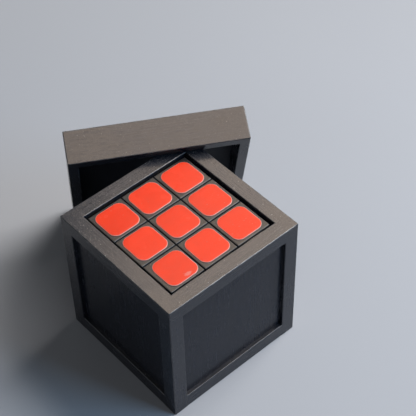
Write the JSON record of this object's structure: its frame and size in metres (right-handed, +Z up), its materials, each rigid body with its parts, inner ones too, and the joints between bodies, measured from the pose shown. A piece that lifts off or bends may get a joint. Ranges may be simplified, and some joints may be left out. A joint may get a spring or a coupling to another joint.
{
  "type": "wooden box with twist puzzle",
  "caption": "Black panelled wooden box that stores a three-layer twist puzzle level with its rim, with a cap lid taken off and leant on the box's back corner.",
  "frame": {"origin": "middle of the box's square underside, on the surface that it stands on", "axes": "+Z up out of the open top; -Y is the box's front panel and -X its left panel, and the lid leans on the corner between +X and +Y"},
  "size_m": [0.1167, 0.1339, 0.086],
  "materials": {
    "painted_wood": "satin black paint over close grain",
    "cubie_plastic": "moulded black, lightly polished",
    "core_plastic": "moulded dark grey",
    "steel": "plain steel",
    "sticker_orange": "smooth vinyl",
    "sticker_red": "smooth vinyl",
    "sticker_white": "smooth vinyl",
    "sticker_yellow": "smooth vinyl",
    "sticker_green": "smooth vinyl",
    "sticker_blue": "smooth vinyl"
  },
  "bodies": {
    "box": {"post_front_left": "painted_wood", "post_front_right": "painted_wood", "post_back_left": "painted_wood", "post_back_right": "painted_wood", "top_rail_front": "painted_wood", "top_rail_right": "painted_wood", "top_rail_back": "painted_wood", "top_rail_left": "painted_wood", "bottom_rail_front": "painted_wood", "bottom_rail_right": "painted_wood", "bottom_rail_back": "painted_wood", "bottom_rail_left": "painted_wood", "side_panel_front": "painted_wood", "side_panel_right": "painted_wood", "side_panel_back": "painted_wood", "side_panel_left": "painted_wood", "base_board": "painted_wood", "floor_blocks": "painted_wood", "floor_board": "painted_wood"},
    "puzzle": {"puzzle_core": "core_plastic", "centre_screws": "steel", "centre_springs": "steel", "centre_caps": "cubie_plastic", "centre_top": "cubie_plastic", "centre_bottom": "cubie_plastic", "centre_front": "cubie_plastic", "centre_back": "cubie_plastic", "centre_left": "cubie_plastic", "centre_right": "cubie_plastic", "edge_top_front": "cubie_plastic", "edge_top_back": "cubie_plastic", "edge_top_left": "cubie_plastic", "edge_top_right": "cubie_plastic", "edge_bottom_front": "cubie_plastic", "edge_bottom_back": "cubie_plastic", "edge_bottom_left": "cubie_plastic", "edge_bottom_right": "cubie_plastic", "edge_front_left": "cubie_plastic", "edge_front_right": "cubie_plastic", "edge_back_left": "cubie_plastic", "edge_back_right": "cubie_plastic", "corner_top_front_left": "cubie_plastic", "corner_top_front_right": "cubie_plastic", "corner_top_back_left": "cubie_plastic", "corner_top_back_right": "cubie_plastic", "corner_bottom_front_left": "cubie_plastic", "corner_bottom_front_right": "cubie_plastic", "corner_bottom_back_left": "cubie_plastic", "corner_bottom_back_right": "cubie_plastic", "stickers_top": "sticker_orange", "stickers_bottom": "sticker_red", "stickers_front": "sticker_white", "stickers_back": "sticker_yellow", "stickers_left": "sticker_green", "stickers_right": "sticker_blue"},
    "lid": {"lid_board": "painted_wood", "lid_wall_bottom": "painted_wood", "lid_wall_right": "painted_wood", "lid_wall_top": "painted_wood", "lid_wall_left": "painted_wood"}
  },
  "joints": [
    {"name": "puzzle_lift", "type": "slide", "parent": "box", "child": "puzzle", "axis": [0, 0, 1], "range_m": [0, 0.06]},
    {"name": "lid_tilt", "type": "hinge", "parent": "box", "child": "lid", "pos_m": [0.03438, 0.06103, 0.0004], "axis": [-0.8599, 0.5105, 0], "range_deg": [0, 21]}
  ]
}
